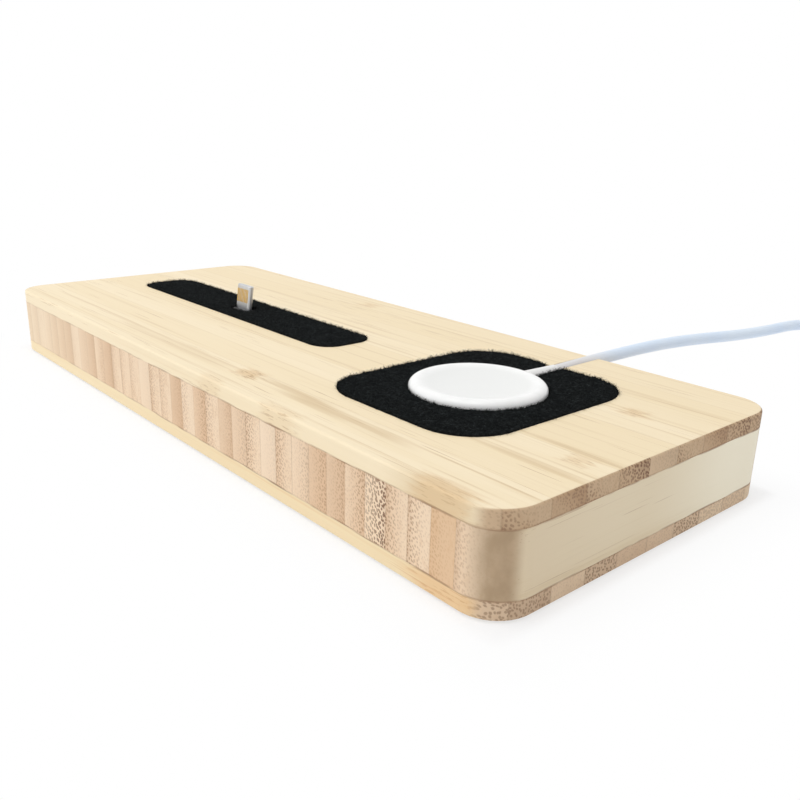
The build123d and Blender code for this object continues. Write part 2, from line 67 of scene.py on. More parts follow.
# The lead's route and coil: the model's tube, a little straighter where the picture shows it
cord_diameter = 2.8 * MM
cord_exit = Vector((55.0, 24.8, 17.4)) * MM
coil_x = 103.0 * MM
coil_y = 123.3 * MM
coil_middle_radius = 16.8 * MM
coil_turn_gap = 0.6 * MM
coil_quarters = 29
coil_inmost_quarter = 14
coil_rise_quarters = 2
coil_steps_per_quarter = 4
lead_in = 3.0 * MM
lead_out_length = 18.0 * MM
plug_axis_height = 3.8 * MM
coil_pitch = cord_diameter + coil_turn_gap
quarter_shift = coil_pitch / 4
inmost_radius = coil_middle_radius - coil_inmost_quarter * quarter_shift / 2
first_radius = inmost_radius + coil_inmost_quarter * quarter_shift
low_layer = cord_diameter / 2
high_layer = low_layer + coil_pitch
cord_route = [
    cord_exit,
    Vector((55.0, 42.0, 17.7)) * MM,
    Vector((58.3, 66.0, 18.7)) * MM,
    Vector((64.3, 95.0, 17.5)) * MM,
    Vector((67.0, 120.0, 18.0)) * MM,
    Vector((70.5, 136.5, 12.2)) * MM,
    Vector((81.0, 145.2, 7.0)) * MM,
    Vector((92.5 * MM, coil_y + first_radius, high_layer)),
    Vector((coil_x - lead_in, coil_y + first_radius, high_layer)),
]


def srgb(red, green, blue):
    """Linear colour of an 8-bit one."""
    linear = []
    for channel in (red, green, blue):
        share = channel / 255
        linear.append(((share + 0.055) / 1.055) ** 2.4 if share > 0.04 else share / 12.92)
    return (*linear, 1.0)


class Channel:
    """A node's output, which varies over a surface. Arithmetic on it adds Math nodes."""

    def __init__(self, shading, socket):
        self.shading = shading
        self.socket = socket

    def __add__(self, other):
        return self.shading.math("ADD", self, other)

    def __sub__(self, other):
        return self.shading.math("SUBTRACT", self, other)

    def __rsub__(self, other):
        return self.shading.math("SUBTRACT", other, self)

    def __mul__(self, other):
        return self.shading.math("MULTIPLY", self, other)

    def __truediv__(self, other):
        return self.shading.math("DIVIDE", self, other)

    __radd__ = __add__
    __rmul__ = __mul__


class Shading:
    """The nodes of a finish, or of the light all round the dock."""

    def __init__(self, tree):
        self.tree = tree
        self.tree.nodes.clear()

    def node(self, kind, settings=None, sockets=None, output=0):
        """Adds a node with its settings, then its sockets' values or links.

        Returns one of its outputs, or the node itself where output is None.
        """
        made = self.tree.nodes.new("ShaderNode" + kind)
        for name, value in (settings or {}).items():
            setattr(made, name, value)
        for name, value in (sockets or {}).items():
            self.feed(made.inputs[name], value)
        if output is None:
            return made
        return Channel(self, made.outputs[output])

    def feed(self, socket, value):
        """Links a channel or an output to a socket, or sets the socket's own value."""
        if isinstance(value, Channel):
            value = value.socket
        if isinstance(value, bpy.types.NodeSocket):
            self.tree.links.new(value, socket)
        else:
            socket.default_value = value

    def math(self, operation, *values):
        """A Math node on channels or numbers."""
        return self.node("Math", {"operation": operation}, dict(enumerate(values)))

    def scaled(self, vector, factor):
        """A vector times one number."""
        return self.node("VectorMath", {"operation": "SCALE"}, {0: vector, "Scale": factor})

    def mix(self, share, first, second):
        """Two colours mixed: the first at a share of 0, the second at 1."""
        return self.node("Mix", {"data_type": "RGBA"}, {"Factor": share, 6: first, 7: second}, 2)

    def ease(self, value, low, high):
        """0 below low, 1 above high, smooth between."""
        settings = {"interpolation_type": "SMOOTHSTEP"}
        sockets = {"Value": value, "From Min": low, "From Max": high}
        return self.node("MapRange", settings, sockets)

    def distance(self, x, y):
        """The length of a step of x one way and y across it."""
        return self.math("SQRT", x * x + y * y)

    def position_mm(self):
        """The place on the object as a vector in millimetres."""
        return self.scaled(self.node("TexCoord", output=3), 1 / MM)

    def split(self, vector):
        """The three parts of a vector."""
        parts = self.node("SeparateXYZ", sockets={0: vector}, output=None)
        return [Channel(self, socket) for socket in parts.outputs]

    def join(self, x, y, z=0.0):
        """A vector from numbers or channels."""
        return self.node("CombineXYZ", sockets={0: x, 1: y, 2: z})

    def noise(self, vector, scale=1.0, detail=2.0, roughness=0.5):
        """Smooth noise from 0 to 1."""
        sockets = {"Vector": vector, "Scale": scale, "Detail": detail, "Roughness": roughness}
        return self.node("TexNoise", None, sockets)

    def cells(self, vector, scale=1.0, spread=1.0, dimensions="3D", feature="F1"):
        """Distance to the nearest of scattered points, or to the edge of its cell."""
        settings = {"voronoi_dimensions": dimensions, "feature": feature}
        sockets = {"Vector": vector, "Scale": scale, "Randomness": spread}
        return self.node("TexVoronoi", settings, sockets)

    def chance(self, number):
        """A random number from 0 to 1 that belongs to a whole number, and a list of three more."""
        rolled = self.node("TexWhiteNoise", {"noise_dimensions": "1D"}, {"W": number}, None)
        return Channel(self, rolled.outputs["Value"]), self.split(rolled.outputs["Color"])

    def seen_rays(self):
        """1 for rays from the camera, reflected and refracted ones too, and 0 for other light."""
        rays = self.node("LightPath", output=None).outputs
        straight = Channel(self, rays["Is Camera Ray"])
        reflected = Channel(self, rays["Is Glossy Ray"])
        refracted = Channel(self, rays["Is Transmission Ray"])
        return self.math("MAXIMUM", self.math("MAXIMUM", straight, reflected), refracted)


class Finish(Shading):
    """A material in the making: a Principled shader and the nodes that feed it."""

    def __init__(self, name, **constants):
        self.material = bpy.data.materials.new(name)
        self.material.use_nodes = True
        super().__init__(self.material.node_tree)
        self.shader = self.node("BsdfPrincipled", output=None)
        self.output = self.node("OutputMaterial", output=None)
        self.feed(self.output.inputs["Surface"], self.shader.outputs[0])
        self.paint(**constants)

    def bump(self, height_mm, strength=1.0):
        """Surface relief from a height in millimetres."""
        sockets = {"Height": height_mm, "Distance": MM, "Strength": strength}
        self.feed(self.shader.inputs["Normal"], self.node("Bump", None, sockets))

    def paint(self, **values):
        """Feeds the shader's sockets, named with underscores for spaces."""
        for name, value in values.items():
            self.feed(self.shader.inputs[name.replace("_", " ")], value)
        return self.material


# Bamboo: what the three plies share. A rate says how fast a noise changes per mm
pore_spacing_mm = 0.54
pore_row_slant = 0.35
pore_row_squeeze = 0.8
pore_warp = 1.2
pore_warp_rate = 0.6
seam_half_width_mm = 0.1
seam_wander_mm = 0.5
seam_wander_rates = (0.012, 0.03)
seam_strength_rate = 0.04
ply_line_half_width_mm = 0.17
ply_line_strength_rate = 0.15
ply_line_colour = srgb(142, 103, 72)
stave_shift_mm = 60
end_facing = (0.2, 0.55)
streak_roughness = 0.55
streak_fade_outside_mm = 5
streak_fade_inside_mm = 8
culm_joint_half_width_mm = 3.2
culm_joint_ragged_along_mm = 9
culm_joint_ragged_across_mm = 2.5


class Staves:
    """Where a point lies among glued staves, and what lot its stave has drawn."""

    def __init__(self, finish, along_axis, width_mm, first_seam_mm):
        self.finish = finish
        self.along_axis = along_axis
        self.width_mm = width_mm
        self.first_seam_mm = first_seam_mm
        parts = finish.split(finish.position_mm())
        self.along = parts[along_axis]
        self.across = parts[1 - along_axis]
        self.height = parts[2]
        self.board_x = parts[0]
        along_rate, across_rate = seam_wander_rates
        drift = finish.noise(finish.join(self.along * along_rate, self.across * across_rate))
        wander = (drift - 0.5) * (2 * seam_wander_mm)
        place = (self.across + wander - first_seam_mm) / width_mm
        self.number = finish.math("FLOOR", place)
        self.inside = place - self.number
        self.luck, self.lots = finish.chance(self.number)
        self.shift = self.luck * stave_shift_mm
        self.from_seam = finish.math("MINIMUM", self.inside, 1 - self.inside) * width_mm

    def spots(self, along_rate, across_rate):
        """Where to read a noise, apart for each stave, at rates along and across the fibres."""
        return self.finish.join(
            self.along * along_rate + self.shift,
            self.across * across_rate,
            self.height * across_rate,
        )

    def streaks(self, along_rate, across_rate, detail=3.0):
        """Streaks along the fibres, from 0 to 1."""
        spots = self.spots(along_rate, across_rate)
        return self.finish.noise(spots, detail=detail, roughness=streak_roughness)

    def only(self, across_mm):
        """1 on the stave that lies at a place, 0 on the others."""
        number = math.floor((across_mm - self.first_seam_mm) / self.width_mm)
        return self.finish.math("COMPARE", self.number, number, 0.5)

    def ends(self):
        """1 where the surface cuts the fibres across, 0 where it follows them."""
        facing = self.finish.split(self.finish.node("TexCoord", output=1))[self.along_axis]
        return self.finish.ease(self.finish.math("ABSOLUTE", facing), *end_facing)

    def seams(self):
        """Glue lines between staves, stronger in some stretches than in others."""
        finish = self.finish
        strength = finish.noise(finish.join(self.along * seam_strength_rate, self.number))
        core, fade = seam_half_width_mm * 0.4, seam_half_width_mm * 2
        line = 1 - finish.ease(self.from_seam, core, fade)
        return line * finish.ease(strength, 0.3, 0.65)

    def ply_lines(self):
        """Glue lines above and below the core, fainter towards the board's left end."""
        finish = self.finish
        under = finish.math("ABSOLUTE", self.height - core_low_mm)
        over = finish.math("ABSOLUTE", self.height - core_high_mm)
        nearest = finish.math("MINIMUM", under, over)
        rate = ply_line_strength_rate
        strength = finish.noise(finish.join(self.along * rate, self.across * rate))
        core, fade = ply_line_half_width_mm * 0.4, ply_line_half_width_mm * 1.8
        line = 1 - finish.ease(nearest, core, fade)
        dark_end = 0.4 + 0.6 * finish.ease(self.board_x, -50.0, 40.0)
        return line * finish.ease(strength, 0.3, 0.7) * dark_end


def long_grain(staves, tints, marks=(), streaks=()):
    """Colour and relief where the surface follows the fibres."""
    finish = staves.finish
    clouds = staves.streaks(along_rate=0.008, across_rate=0.22)
    bands = staves.streaks(along_rate=0.012, across_rate=0.6)
    fibres = staves.streaks(along_rate=0.03, across_rate=2.6)
    hairs = staves.streaks(along_rate=0.05, across_rate=7.5, detail=2.0)
    dashes = staves.streaks(along_rate=0.06, across_rate=4.6, detail=1.0)
    dash_rows = staves.streaks(along_rate=0.01, across_rate=0.4, detail=1.0)
    colour = finish.mix(finish.ease(staves.luck, 0.1, 0.9), tints["pale"], tints["deep"])
    # Each layer, the values at which it starts and is full, how strong it is, and its tint
    layers = [
        (clouds, 0.4, 0.7, 0.6, "deep"),
        (bands, 0.54, 0.72, 0.7, "streak"),
        (fibres, 0.52, 0.8, 0.12, "fibre"),
        (hairs, 0.58, 0.78, 0.09, "fibre"),
    ]
    for layer, low, high, share, tint in layers:
        colour = finish.mix(finish.ease(layer, low, high) * share, colour, tints[tint])
    dash_share = finish.ease(dashes, 0.64, 0.72) * finish.ease(dash_rows, 0.48, 0.6) * 0.75
    colour = finish.mix(dash_share, colour, tints["dash"])
    colour = finish.mix(staves.seams() * 0.28, colour, tints["seam"])
    for streak in streaks:
        colour = finish.mix(drawn_streak(staves, *streak), colour, tints["stain"])
    for *mark, fleck_strength in marks:
        joint = culm_joint(staves, *mark)
        flecks = finish.ease(finish.noise(staves.spots(0.35, 3.4)), 0.56, 0.64)
        colour = finish.mix(joint * 0.7, colour, tints["mark"])
        colour = finish.mix(joint * flecks * fleck_strength, colour, tints["dash"])
    relief = fibres * 0.02 + hairs * 0.012 - staves.seams() * 0.03
    return colour, relief


def drawn_streak(staves, across, half_width, start, end, strength):
    """A stained line of fibres at a set place, with ragged edges and fading ends."""
    finish = staves.finish
    ragged = finish.noise(staves.spots(0.04, 1.1), detail=3.0) - 0.5
    apart = finish.math("ABSOLUTE", staves.across - across + ragged * (half_width * 2.4))
    body = 1 - finish.ease(apart, half_width * 0.2, half_width * 1.3)
    outside, inside = streak_fade_outside_mm, streak_fade_inside_mm
    begin = finish.ease(staves.along, start - outside, start + inside)
    close = 1 - finish.ease(staves.along, end - inside, end + outside)
    return body * begin * close * strength


def culm_joint(staves, mark_along, mark_across, half_length, strength):
    """A patch of disturbed fibres where a joint of the culm crosses one stave."""
    finish = staves.finish
    ragged = finish.noise(staves.spots(0.15, 1.2), detail=3.0) - 0.5
    from_along = staves.along - mark_along + ragged * culm_joint_ragged_along_mm
    from_across = staves.across - mark_across + ragged * culm_joint_ragged_across_mm
    reach_along = finish.math("ABSOLUTE", from_along / half_length)
    reach_across = finish.math("ABSOLUTE", from_across / culm_joint_half_width_mm)
    apart = finish.math("MAXIMUM", reach_along, reach_across)
    return (1 - finish.ease(apart, 0.3, 1.0)) * strength


def cut_grain(staves, tints, coarse, slant=0.0, clarity=1.0):
    """Colour and relief where fibres are cut: pores, larger and darker near the culm's skin.

    They are coarse and dark where coarse is 1. A slant leans the skin's side over the height.
    """
    finish = staves.finish
    across, height, shift = staves.across, staves.height, staves.shift
    flip = finish.math("GREATER_THAN", staves.lots[0], 0.3)
    level = staves.inside + (height - core_high_mm) * slant
    skin = flip * level + (1 - flip) * (1 - level)
    skin = finish.math("MAXIMUM", finish.math("MINIMUM", skin, 1.0), 0.0)
    warp_one = finish.noise(finish.join(across * pore_warp_rate, height * pore_warp_rate, 3.0))
    warp_two = finish.noise(finish.join(across * pore_warp_rate, height * pore_warp_rate, 7.0))
    rows = (height + across * pore_row_slant) / pore_spacing_mm
    grid = finish.join(
        across / pore_spacing_mm + warp_one * pore_warp + shift,
        rows * pore_row_squeeze + warp_two * pore_warp + shift,
    )
    apart = finish.cells(grid, spread=0.8, dimensions="2D")
    reach = 0.24 + 0.1 * skin
    pores = 1 - finish.ease(apart / reach, 0.6, 1.3)
    curl = finish.join(across + warp_one * 3, height * 0.3 + warp_two * 2, shift)
    ripple = finish.noise(curl, detail=3.0)
    tone = finish.ease(staves.luck * 0.6 + skin * 0.4, 0.1, 0.9)
    colour = finish.mix(tone, tints["end_pale"], tints["end_deep"])
    colour = finish.mix(finish.ease(ripple, 0.48, 0.7) * 0.4, colour, tints["end_deep"])
    depth = (0.3 + 0.7 * finish.ease(skin, 0.15, 0.9)) * (0.42 + 0.32 * staves.lots[1])
    colour = finish.mix(pores * depth * clarity, colour, tints["pore"])
    bundles = 1 - finish.ease(apart, 0.3, 0.46)
    bundle_share = bundles * (0.35 + 0.65 * skin)
    net = finish.mix(bundle_share, tints["end_pale"], tints["coarse_pore"])
    colour = finish.mix(coarse, colour, net)
    pores = finish.math("MAXIMUM", pores, coarse * bundles)
    shade = (1 - finish.ease(1 - skin, 0.0, 0.3)) * staves.lots[2]
    colour = finish.mix(shade * 0.2, colour, tints["pore"])
    colour = finish.mix(staves.seams() * 0.4, colour, tints["pore"])
    relief = 0.02 * ripple - pores * depth * 0.05 - staves.seams() * 0.04
    return colour, relief


def bamboo(staves, face, cut):
    """Joins the two kinds of surface and the ply lines into one finish."""
    finish = staves.finish
    face_colour, face_relief = face
    cut_colour, cut_relief = cut
    ends = staves.ends()
    plies = staves.ply_lines()
    colour = finish.mix(ends, face_colour, cut_colour)
    colour = finish.mix(plies * 0.82, colour, ply_line_colour)
    relief = face_relief * (1 - ends) + cut_relief * ends - plies * 0.04
    finish.bump(relief, strength=0.8)
    gloss = staves.streaks(along_rate=0.03, across_rate=2.0)
    return finish.paint(Base_Color=colour, Roughness=0.48 + 0.16 * gloss + 0.14 * ends)


def top_bamboo():
    """Lengthwise staves of the top ply, cream, with a few joints of the culm showing."""
    tints = {
        "pale": srgb(249, 232, 199),
        "deep": srgb(244, 225, 188),
        "streak": srgb(226, 203, 164),
        "fibre": srgb(218, 190, 148),
        "dash": srgb(178, 142, 98),
        "seam": srgb(196, 163, 122),
        "stain": srgb(210, 182, 138),
        "mark": srgb(224, 192, 146),
        "end_pale": srgb(206, 177, 143),
        "end_deep": srgb(186, 151, 116),
        "pore": srgb(120, 86, 60),
        "coarse_pore": srgb(112, 78, 54),
    }
    # Along, across and half length in mm, strength, strength of the flecks
    marks = [
        (20.0, -30.5, 5.0, 1.0, 1.0),
        (18.0, -39.0, 6.0, 0.35, 1.0),
        (43.0, -39.0, 8.0, 0.4, 1.0),
        (86.0, -38.0, 8.0, 1.0, 0.3),
        (91.5, -14.0, 3.5, 0.6, 0.8),
        (83.5, 13.0, 3.5, 0.7, 1.0),
        (-58.0, 17.5, 4.0, 0.5, 0.6),
        (-18.0, 32.0, 4.0, 0.5, 0.6),
    ]
    # Across, half width, start and end along the board in mm, strength
    streaks = [
        (-30.6, 0.6, -84.0, 34.0, 0.4),
        (-32.2, 1.7, -40.0, 14.0, 0.25),
        (-29.6, 1.2, 25.0, 48.0, 0.55),
        (-31.2, 1.7, 34.0, 70.0, 0.6),
        (-30.2, 0.35, 70.0, 100.0, 0.6),
        (-34.2, 0.25, 79.0, 92.0, 0.55),
        (-39.0, 1.5, 76.0, 94.0, 0.5),
        (-20.3, 1.2, 75.0, 100.0, 0.4),
        (-10.8, 0.9, 79.0, 100.0, 0.45),
        (22.9, 0.3, 78.0, 100.0, 0.6),
    ]
    staves = Staves(Finish("top_bamboo"), along_axis=0, width_mm=8.2, first_seam_mm=-28.4)
    coarse = staves.only(-8.0) + staves.only(25.0) + staves.only(33.0)
    face = long_grain(staves, tints, marks, streaks)
    cut, cut_relief = cut_grain(staves, tints, coarse * 0.6, slant=0.12)
    cut = staves.finish.mix(staves.only(0.0) * 0.5, cut, srgb(232, 207, 174))
    return bamboo(staves, face, (cut, cut_relief))


def core_bamboo():
    """Crosswise strips of the core, on edge, so that the front and back show their end grain."""
    tints = {
        "pale": srgb(240, 225, 196),
        "deep": srgb(235, 218, 186),
        "streak": srgb(226, 207, 172),
        "fibre": srgb(208, 184, 148),
        "dash": srgb(184, 154, 120),
        "seam": srgb(180, 150, 118),
        "end_pale": srgb(242, 217, 187),
        "end_deep": srgb(222, 188, 153),
        "pore": srgb(156, 115, 81),
        "coarse_pore": srgb(122, 86, 60),
    }
    staves = Staves(Finish("core_bamboo"), along_axis=1, width_mm=5.233, first_seam_mm=94.7)
    finish = staves.finish
    board_x, board_y = staves.across, staves.along
    clarity = 0.3 + 0.7 * finish.ease(board_x, -45.0, 25.0)
    clarity = clarity - 0.4 * finish.ease(board_x, 88.0, 90.5)
    cut, cut_relief = cut_grain(staves, tints, staves.only(71.5), clarity=clarity)
    # Strips that are paler or darker than the rest, by a place on each in mm
    paler = sum(staves.only(place) for place in (-54.0, -49.0, -15.0, -12.0, 8.0, 29.0, 50.0))
    darker = sum(staves.only(place) for place in (-60.0, -44.0, -33.0, 3.0, 24.0, 60.0))
    # Painted light: the end grain is paler towards the left end, where the light falls from the
    # left
    painted_light_left_end = 1 - finish.ease(board_x, -92.0, -30.0)
    cut = finish.mix(paler * 0.35, cut, srgb(246, 224, 196))
    cut = finish.mix(darker * 0.35, cut, srgb(214, 180, 146))
    cut = finish.mix(painted_light_left_end * 0.6, cut, srgb(243, 225, 196))
    cut = finish.mix(staves.only(40.5) * 0.6, cut, srgb(250, 230, 204))
    cut = finish.mix(staves.only(87.0) * 0.6, cut, srgb(218, 176, 130))
    # Painted shade, in patches, on the end grain where the core turns round its right-hand corners
    corner = finish.ease(board_x, 90.6, 95.4)
    patches = finish.noise(finish.join(board_x * 0.5, staves.height * 0.25), detail=3.0)
    shade_patchiness = 0.76 + 0.2 * finish.ease(patches, 0.32, 0.68)
    cut = finish.mix(corner * shade_patchiness, cut, srgb(176, 150, 118))
    face, face_relief = long_grain(staves, tints)
    # Painted shade towards the front and painted light towards the back, on the faces that follow
    # the fibres
    painted_shade_near = 1 - finish.ease(board_y, -42.0, -8.0)
    painted_light_far = finish.ease(board_y, -6.0, 26.0)
    face = finish.mix(painted_shade_near * 0.4, face, srgb(214, 188, 152))
    face = finish.mix(painted_light_far * 0.95, face, srgb(255, 246, 222))
    return bamboo(staves, (face, face_relief), (cut, cut_relief))


def bottom_bamboo():
    """Lengthwise staves of the bottom ply, a little warmer than the top."""
    tints = {
        "pale": srgb(246, 228, 190),
        "deep": srgb(241, 217, 174),
        "streak": srgb(234, 204, 158),
        "fibre": srgb(228, 190, 138),
        "dash": srgb(198, 148, 96),
        "seam": srgb(188, 150, 108),
        "mark": srgb(230, 184, 130),
        "end_pale": srgb(234, 209, 178),
        "end_deep": srgb(206, 173, 141),
        "pore": srgb(124, 90, 64),
        "coarse_pore": srgb(112, 80, 56),
    }
    # Along, across and half length in mm, strength, strength of the flecks
    marks = [
        (88.0, -38.0, 12.0, 0.8, 0.5),
        (30.0, 22.0, 4.0, 0.6, 0.6),
        (-50.0, -14.0, 4.0, 0.6, 0.6),
    ]
    staves = Staves(Finish("bottom_bamboo"), along_axis=0, width_mm=8.3, first_seam_mm=-26.8)
    coarse = staves.only(18.0) * 0.6 + staves.only(27.0) * 0.5
    cut, cut_relief = cut_grain(staves, tints, coarse, slant=0.12)
    cut = staves.finish.mix(staves.only(35.0) * 0.4, cut, srgb(236, 212, 180))
    return bamboo(staves, long_grain(staves, tints, marks), (cut, cut_relief))


def black_felt():
    """Pressed wool felt: matte near black with tangled fibres."""
    finish = Finish("black_felt", Roughness=1.0, Specular_IOR_Level=0.02)
    place = finish.position_mm()
    bend = finish.noise(place, scale=0.8)
    x, y, z = finish.split(place)
    lengthwise = finish.join(x * 1.2, y * 6 - bend * 5, z * 3)
    crosswise = finish.join(x * 6 + bend * 5, y * 1.2, z * 3)
    strands = finish.math(
        "MAXIMUM",
        finish.noise(crosswise, detail=3.0),
        finish.noise(lengthwise, detail=3.0),
    )
    tufts = finish.noise(place, scale=0.5, detail=3.0)
    colour = finish.mix(finish.ease(strands, 0.5, 0.78), srgb(15, 17, 17), srgb(56, 60, 61))
    colour = finish.mix(finish.ease(tufts, 0.42, 0.66) * 0.6, colour, srgb(15, 17, 18))
    finish.bump(strands * 0.12 + tufts * 0.1)
    return finish.paint(Base_Color=colour)


def felt_fibre():
    """Loose wool fibres that stand out of the felt."""
    finish = Finish("felt_fibre", Roughness=0.85, Specular_IOR_Level=0.1)
    speck = finish.ease(finish.noise(finish.position_mm(), scale=2.2), 0.4, 0.7)
    return finish.paint(Base_Color=finish.mix(speck, srgb(18, 20, 20), srgb(48, 51, 52)))


def from_disc_axis_mm(finish, place):
    """How far a place lies from the charging disc's upright axis."""
    x, y = finish.split(place)[:2]
    return finish.distance(x - disc_x / MM, y - disc_y / MM)


# Distance from the disc's axis over which the dish's painted shade fades into the rim's white
dish_edge_mm = (9.6, 12.2)


def gloss_white():
    """Moulded glossy white plastic, faintly mottled, with painted shade that greys the disc's dish
    a touch.
    """
    finish = Finish("gloss_white", Specular_IOR_Level=0.5)
    place = finish.position_mm()
    mottle = finish.noise(place, scale=0.35, detail=3.0)
    grime = finish.noise(place, scale=1.7, detail=4.0)
    # Painted shade: the disc's dish a touch greyer than its rim. The same grey also serves the
    # plastic's own faint mottle
    dish_painted_shade = 1 - finish.ease(from_disc_axis_mm(finish, place), *dish_edge_mm)
    shade_and_mottle_grey = srgb(240, 241, 239)
    colour = finish.mix(dish_painted_shade, srgb(253, 253, 252), shade_and_mottle_grey)
    colour = finish.mix(finish.ease(mottle, 0.4, 0.75) * 0.4, colour, shade_and_mottle_grey)
    finish.bump(finish.noise(place, scale=0.6) * 0.01, strength=0.3)
    return finish.paint(Base_Color=colour, Roughness=0.16 + grime * 0.08)


def satin_white():
    """Matte white plastic inside the plug."""
    finish = Finish("satin_white", Roughness=0.5)
    speck = finish.noise(finish.position_mm(), scale=3.0, detail=3.0)
    finish.bump(speck * 0.01, strength=0.4)
    return finish.paint(Base_Color=finish.mix(speck, srgb(236, 236, 234), srgb(226, 227, 227)))


# Distance behind the board's middle over which the lead takes on its painted bluish reflection
painted_reflection_mm = (32.0, 48.0)


def cord_jacket():
    """Smooth soft jacket of the lead: neutral in its groove, with a painted bluish reflection past
    it.
    """
    finish = Finish("cord_jacket", Specular_IOR_Level=0.5)
    place = finish.position_mm()
    cloud = finish.noise(place, scale=0.12, detail=3.0)
    rub = finish.noise(place, scale=2.5, detail=3.0)
    in_groove = 1 - finish.ease(finish.split(place)[1], *painted_reflection_mm)
    # Painted reflection: bluish white on the lead past its groove, a neutral grey in it
    colour = finish.mix(finish.ease(cloud, 0.35, 0.65), srgb(230, 242, 255), srgb(224, 238, 255))
    colour = finish.mix(in_groove, colour, srgb(228, 226, 226))
    colour = finish.mix(finish.ease(rub, 0.6, 0.85) * 0.2, colour, srgb(214, 222, 236))
    finish.bump(rub * 0.006, strength=0.5)
    return finish.paint(Base_Color=colour, Roughness=0.38 + rub * 0.15)


def collar_plastic():
    """Softer, slightly greyer plastic of the collar."""
    finish = Finish("collar_plastic", Specular_IOR_Level=0.4)
    rub = finish.noise(finish.position_mm(), scale=2.0, detail=3.0)
    finish.bump(rub * 0.01, strength=0.5)
    colour = finish.mix(rub, srgb(250, 249, 247), srgb(238, 237, 235))
    return finish.paint(Base_Color=colour, Roughness=0.35 + rub * 0.15)


def bright_steel(name="bright_steel", tint=(205, 206, 208), smear_depth=22):
    """Bright metal with fine lines drawn from front to back, and soft smears."""
    finish = Finish(name, Metallic=1.0)
    place = finish.position_mm()
    x, y, z = finish.split(place)
    drawn = finish.noise(finish.join(x * 14, y * 0.8, z * 14), detail=3.0)
    smear = finish.noise(place, scale=0.8, detail=3.0)
    finish.bump(drawn * 0.004, strength=0.5)
    smeared = [part - smear_depth for part in tint]
    colour = finish.mix(smear, srgb(*tint), srgb(*smeared))
    return finish.paint(Base_Color=colour, Roughness=0.2 + drawn * 0.14 + smear * 0.08)


def gold_contact():
    """Thin gold plate, lightly scratched."""
    finish = Finish("gold_contact", Metallic=1.0)
    x, y, z = finish.split(finish.position_mm())
    scratch = finish.noise(finish.join(x * 12, y * 1.5, z * 1.5), detail=3.0)
    finish.bump(scratch * 0.003, strength=0.5)
    colour = finish.mix(scratch, srgb(224, 188, 104), srgb(196, 152, 74))
    return finish.paint(Base_Color=colour, Roughness=0.2 + scratch * 0.15)


def black_plastic():
    """Black moulded plastic with a fine spark-eroded texture."""
    finish = Finish("black_plastic", Specular_IOR_Level=0.4)
    place = finish.position_mm()
    grain = finish.cells(place, scale=7.0)
    haze = finish.noise(place, scale=0.4, detail=3.0)
    finish.bump(grain * 0.02, strength=0.6)
    colour = finish.mix(haze, srgb(24, 24, 25), srgb(38, 38, 40))
    return finish.paint(Base_Color=colour, Roughness=0.45 + grain * 0.15)


def foot_rubber():
    """Soft black rubber with a dusty bloom."""
    finish = Finish("foot_rubber", Specular_IOR_Level=0.25)
    place = finish.position_mm()
    bloom = finish.noise(place, scale=0.6, detail=4.0)
    grain = finish.noise(place, scale=6.0)
    finish.bump(grain * 0.03, strength=0.6)
    colour = finish.mix(bloom, srgb(28, 28, 28), srgb(48, 47, 46))
    return finish.paint(Base_Color=colour, Roughness=0.75 + bloom * 0.15)


def circuit_laminate():
    """Green laminate with fine copper tracks under its mask."""
    finish = Finish("circuit_laminate", Roughness=0.4)
    x, y = finish.split(finish.position_mm())[:2]
    fields = finish.join(x * 0.9, y * 0.9)
    from_track = finish.cells(fields, spread=0.35, feature="DISTANCE_TO_EDGE")
    tracks = 1 - finish.ease(from_track, 0.04, 0.09)
    finish.bump(tracks * 0.03, strength=0.6)
    return finish.paint(Base_Color=finish.mix(tracks, srgb(24, 92, 52), srgb(60, 128, 72)))


def ferrite_grey():
    """Sintered dark grey ferrite."""
    finish = Finish("ferrite_grey", Roughness=0.7)
    grain = finish.cells(finish.position_mm(), scale=5.0)
    finish.bump(grain * 0.03, strength=0.7)
    return finish.paint(Base_Color=finish.mix(grain, srgb(44, 43, 44), srgb(72, 70, 70)))


def copper_wire(turn_pitch_mm=0.42):
    """Flat winding of enamelled copper, whose turns show as fine rings."""
    finish = Finish("copper_wire", Metallic=1.0, Coat_Weight=0.5)
    radius = from_disc_axis_mm(finish, finish.position_mm())
    turns = finish.math("ABSOLUTE", finish.math("SINE", radius * (math.pi / turn_pitch_mm)))
    finish.bump(turns * 0.08, strength=0.8)
    colour = finish.mix(turns, srgb(96, 44, 22), srgb(206, 118, 66))
    return finish.paint(Base_Color=colour, Roughness=0.3 + turns * 0.1)


# Studio: the floor's glow round the board, the light from all round, and the lamps
plain_white = (1.0, 1.0, 1.0, 1.0)
floor_size = 12.0
floor_tints = ((0.95, 0.96, 0.98, 1.0), (0.96, 0.97, 0.99, 1.0))
floor_glow_share = 0.87
floor_fade_mm = (0.0, 17.0)
contact_depth = 0.22
contact_reach_mm = (0.3, 3.4)
world_strength = 0.61
# Name, place, side and power
lamps = [
    ("overhead", (-0.1, -0.2, 0.9), 0.7, 3.1),
    ("left_front", (-0.6, -0.8, 0.45), 0.8, 2.5),
]


